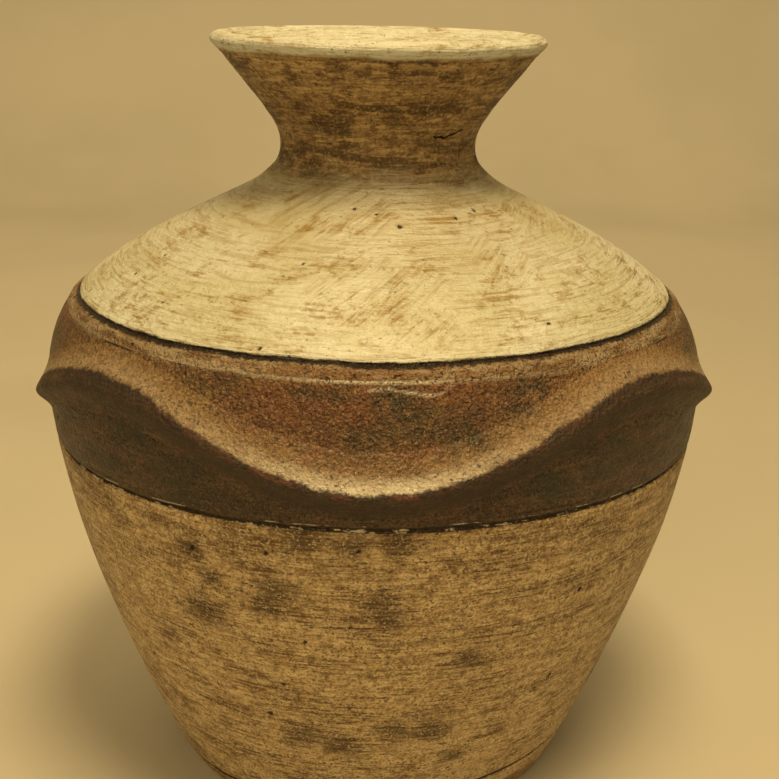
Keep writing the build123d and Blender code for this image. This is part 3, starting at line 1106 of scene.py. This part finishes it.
def build_jar():
    pieces = build_walls()
    pieces["wave_ridge"] = ridge_piece()
    pieces["rim_lip"] = lip_piece()
    pieces["foot_ring"] = foot_piece()
    pieces["base_slab"] = slab_piece()
    finishes = {
        "base_slab": ("raw_clay", clay_paint("raw_fired_clay", BARE_CLAY)),
        "foot_ring": ("foot_clay", clay_paint("foot_washed_clay", TAN)),
        "lower_wall": ("tan_wash", body_paint()),
        "belly_band": ("dark_band", band_paint()),
        "wave_ridge": ("ridge_cream", ridge_paint()),
        "bead_coil": ("bead_gold", bead_paint()),
        "shoulder": ("shoulder_cream", shoulder_paint()),
        "neck_collar": ("neck_umber", neck_paint()),
        "mouth_flare": ("flare_umber", flare_paint()),
        "rim_lip": ("rim_cream", rim_paint()),
    }
    for node, (slot, material) in finishes.items():
        dress(pieces[node], node, material)


# --- floor, light and camera ---

WARM = (1.0, 0.72, 0.34)
FLOOR_COLOURS = (0.52, 0.5, 0.43), (0.56, 0.535, 0.46)
CAMERA_PLACE = (0, -0.56, 0.3444)
CAMERA_TURN = (17.845, 0.718, 1.093)  # degrees down, to the right, and rolled
CAMERA_LENS = 60.585


def pale_floor():
    """A plain floor that curves up into a plain backdrop."""
    half = 3.0
    back = 1.75
    bend = 0.45
    profile = [(-2.6, 0.0), (back - bend, 0.0)]
    for step in range(1, 13):
        turn = step / 12 * math.pi / 2
        profile.append((back - bend + bend * math.sin(turn), bend - bend * math.cos(turn)))
    profile.append((back, 2.4))
    vertices = [(side * half, y, z) for y, z in profile for side in (-1, 1)]
    faces = [(2 * i, 2 * i + 1, 2 * i + 3, 2 * i + 2) for i in range(len(profile) - 1)]
    mesh = bpy.data.meshes.new("pale_floor")
    mesh.from_pydata(vertices, [], faces)
    mesh.shade_smooth()
    floor = bpy.data.objects.new("pale_floor", mesh)
    bpy.context.scene.collection.objects.link(floor)
    paint = Paint("pale_floor_finish")
    tone = paint.patch(240, 3, 0.5, 91.0, 0.3, 0.7)
    colour = paint.layers(FLOOR_COLOURS[0], (FLOOR_COLOURS[1], tone))
    paint.bump(paint.noise(3, 2, 0.5, seed=92.0), 0.05)
    floor.data.materials.append(paint.finish(colour, paint.scale(tone, 0.6, 0.7), 0.3))


def soft_light(name, place, aim, size, watts):
    data = bpy.data.lights.new(name, "AREA")
    data.shape = "RECTANGLE"
    data.size, data.size_y = size
    data.energy = watts
    data.color = WARM
    lamp = bpy.data.objects.new(name, data)
    lamp.location = place
    lamp.rotation_euler = (Vector(aim) - Vector(place)).to_track_quat("-Z", "Y").to_euler()
    bpy.context.scene.collection.objects.link(lamp)


def studio():
    middle = (0, 0, 0.18)
    soft_light("ceiling_softbox", (0.12, -0.45, 1.6), middle, (0.46, 0.46), 20.5)
    soft_light("front_fill", (-0.4, -1.7, 1.0), middle, (0.9, 0.7), 10.5)
    soft_light("backdrop_wash", (0, 0.75, 1.9), (0, 1.75, 0.25), (1.6, 0.4), 12.5)
    world = bpy.data.worlds.new("soft_room")
    world.use_nodes = True
    background = world.node_tree.nodes["Background"]
    background.inputs["Color"].default_value = (*WARM, 1)
    background.inputs["Strength"].default_value = 0.26
    bpy.context.scene.world = world
    bpy.context.scene.view_settings.view_transform = "Standard"


def camera():
    """The view: from the front, a little above the rim, looking down at the belly."""
    pitch, yaw, roll = (math.radians(part) for part in CAMERA_TURN)
    turn = Matrix.Rotation(-yaw, 4, "Z") @ Matrix.Rotation(math.pi / 2 - pitch, 4, "X")
    turn = turn @ Matrix.Rotation(roll, 4, "Z")
    data = bpy.data.cameras.new("front_camera")
    data.sensor_width = 36
    data.lens = CAMERA_LENS
    view = bpy.data.objects.new("front_camera", data)
    view.matrix_world = Matrix.Translation(CAMERA_PLACE) @ turn
    bpy.context.scene.collection.objects.link(view)
    bpy.context.scene.camera = view


build_jar()
pale_floor()
studio()
camera()
